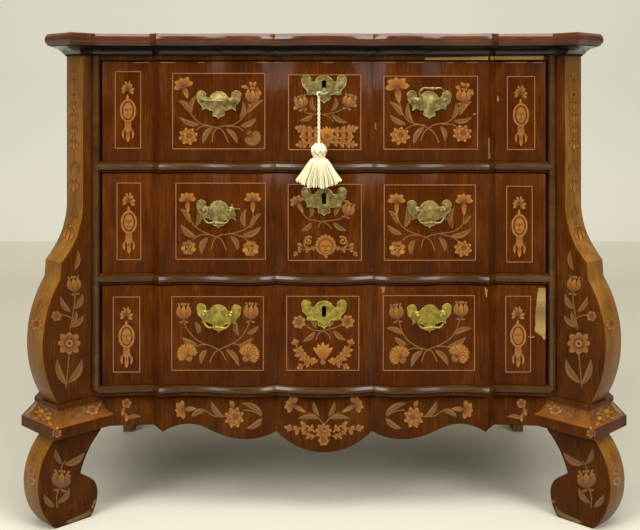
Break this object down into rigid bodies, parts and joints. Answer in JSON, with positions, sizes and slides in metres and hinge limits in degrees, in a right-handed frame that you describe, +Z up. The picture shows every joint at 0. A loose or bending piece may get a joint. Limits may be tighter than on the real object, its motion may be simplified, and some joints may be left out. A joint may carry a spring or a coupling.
{
  "type": "bombe chest of drawers",
  "caption": "Bombe chest of drawers with a serpentine front, canted swelling corners on scroll feet, bat-wing bail pulls, locks, and a key with a tassel.",
  "frame": {"origin": "on the floor, under the middle of the chest", "axes": "+X to the right along the front, +Y towards the back, +Z up"},
  "size_m": [1.04, 0.5588, 0.825],
  "materials": {
    "walnut_veneer": "satin waxed",
    "walnut_moulding": "satin waxed",
    "ebonised_wood": "satin",
    "oak": "unfinished",
    "cast_brass": "old polished",
    "forged_iron": "dull",
    "cotton": "twisted cotton"
  },
  "bodies": {
    "carcass": {"top_board": "walnut_veneer", "top_edge_moulding": "walnut_moulding", "frieze_cove": "ebonised_wood", "bottom_rail": "walnut_moulding", "top_rail": "walnut_moulding", "drawer_rails": "walnut_moulding", "front_beads": "walnut_moulding", "corner_post_left": "walnut_veneer", "corner_post_right": "walnut_veneer", "bombe_side_left": "walnut_veneer", "bombe_side_right": "walnut_veneer", "base_collar_left": "walnut_moulding", "base_collar_right": "walnut_moulding", "scroll_foot_left": "walnut_veneer", "scroll_foot_right": "walnut_veneer", "apron": "walnut_veneer", "carcass_sides": "oak", "back_panel": "oak", "bottom_board": "oak", "drawer_runners": "oak", "drawer_stops": "oak"},
    "lower_drawer": {"lower_drawer_front": "walnut_veneer", "lower_drawer_handle_plates": "cast_brass", "lower_drawer_handle_posts": "cast_brass", "lower_drawer_handle_nuts": "cast_brass", "lower_drawer_escutcheon": "cast_brass", "lower_drawer_lock_case": "forged_iron", "lower_drawer_sides": "oak", "lower_drawer_bottom": "oak", "lower_drawer_back": "oak"},
    "middle_drawer": {"middle_drawer_front": "walnut_veneer", "middle_drawer_handle_plates": "cast_brass", "middle_drawer_handle_posts": "cast_brass", "middle_drawer_handle_nuts": "cast_brass", "middle_drawer_escutcheon": "cast_brass", "middle_drawer_lock_case": "forged_iron", "middle_drawer_sides": "oak", "middle_drawer_bottom": "oak", "middle_drawer_back": "oak"},
    "upper_drawer": {"upper_drawer_front": "walnut_veneer", "upper_drawer_handle_plates": "cast_brass", "upper_drawer_handle_posts": "cast_brass", "upper_drawer_handle_nuts": "cast_brass", "upper_drawer_escutcheon": "cast_brass", "upper_drawer_lock_case": "forged_iron", "upper_drawer_sides": "oak", "upper_drawer_bottom": "oak", "upper_drawer_back": "oak"},
    "lower_left_bail": {"lower_drawer_bail_left": "cast_brass"},
    "lower_right_bail": {"lower_drawer_bail_right": "cast_brass"},
    "lower_bolt": {"lower_drawer_lock_bolt": "forged_iron"},
    "middle_left_bail": {"middle_drawer_bail_left": "cast_brass"},
    "middle_right_bail": {"middle_drawer_bail_right": "cast_brass"},
    "middle_bolt": {"middle_drawer_lock_bolt": "forged_iron"},
    "upper_left_bail": {"upper_drawer_bail_left": "cast_brass"},
    "upper_right_bail": {"upper_drawer_bail_right": "cast_brass"},
    "upper_bolt": {"upper_drawer_lock_bolt": "forged_iron"},
    "key": {"key": "forged_iron"},
    "cord_and_tassel": {"key_cord": "cotton", "tassel": "cotton"}
  },
  "joints": [
    {"name": "lower_drawer_slide", "type": "slide", "parent": "carcass", "child": "lower_drawer", "axis": [0, -1, 0], "range_m": [0, 0.34]},
    {"name": "middle_drawer_slide", "type": "slide", "parent": "carcass", "child": "middle_drawer", "axis": [0, -1, 0], "range_m": [0, 0.34], "deforming": ["tassel"]},
    {"name": "upper_drawer_slide", "type": "slide", "parent": "carcass", "child": "upper_drawer", "axis": [0, -1, 0], "range_m": [0, 0.34]},
    {"name": "lower_left_bail_swing", "type": "hinge", "parent": "lower_drawer", "child": "lower_left_bail", "pos_m": [-0.18202, -0.22164, 0.3478], "axis": [-0.9857, 0.1688, 0], "range_deg": [-20, 195]},
    {"name": "lower_right_bail_swing", "type": "hinge", "parent": "lower_drawer", "child": "lower_right_bail", "pos_m": [0.18202, -0.22164, 0.3478], "axis": [-0.9857, -0.1688, 0], "range_deg": [-20, 195]},
    {"name": "middle_left_bail_swing", "type": "hinge", "parent": "middle_drawer", "child": "middle_left_bail", "pos_m": [-0.18202, -0.22164, 0.5258], "axis": [-0.9857, 0.1688, 0], "range_deg": [-28, 187]},
    {"name": "middle_right_bail_swing", "type": "hinge", "parent": "middle_drawer", "child": "middle_right_bail", "pos_m": [0.18202, -0.22164, 0.5258], "axis": [-0.9857, -0.1688, 0], "range_deg": [-20, 195]},
    {"name": "upper_left_bail_swing", "type": "hinge", "parent": "upper_drawer", "child": "upper_left_bail", "pos_m": [-0.18202, -0.22164, 0.7128], "axis": [-0.9857, 0.1688, 0], "range_deg": [-108, 107]},
    {"name": "upper_right_bail_swing", "type": "hinge", "parent": "upper_drawer", "child": "upper_right_bail", "pos_m": [0.18202, -0.22164, 0.7128], "axis": [-0.9857, -0.1688, 0], "range_deg": [-180, 35]},
    {"name": "key_turn", "type": "hinge", "parent": "upper_drawer", "child": "key", "pos_m": [0, -0.16811, 0.7428], "axis": [0, -0.9744, -0.225], "range_deg": [0, 75]},
    {"name": "cord_swing", "type": "hinge", "parent": "key", "child": "cord_and_tassel", "pos_m": [-0.00869, -0.24359, 0.72298], "axis": [0, -0.9744, -0.225], "range_deg": [-75, 0]},
    {"name": "lower_bolt_throw", "type": "slide", "parent": "lower_drawer", "child": "lower_bolt", "axis": [0, 0, 1], "range_m": [0, 0.008]},
    {"name": "middle_bolt_throw", "type": "slide", "parent": "middle_drawer", "child": "middle_bolt", "axis": [0, 0, 1], "range_m": [0, 0.008]},
    {"name": "upper_bolt_throw", "type": "slide", "parent": "upper_drawer", "child": "upper_bolt", "axis": [0, 0, 1], "range_m": [0, 0.008]}
  ],
  "couplings": [
    {"joint": "upper_bolt_throw", "follows": "key_turn", "m_per_rad": 0.0061114},
    {"joint": "cord_swing", "follows": "key_turn", "ratio": -1}
  ]
}
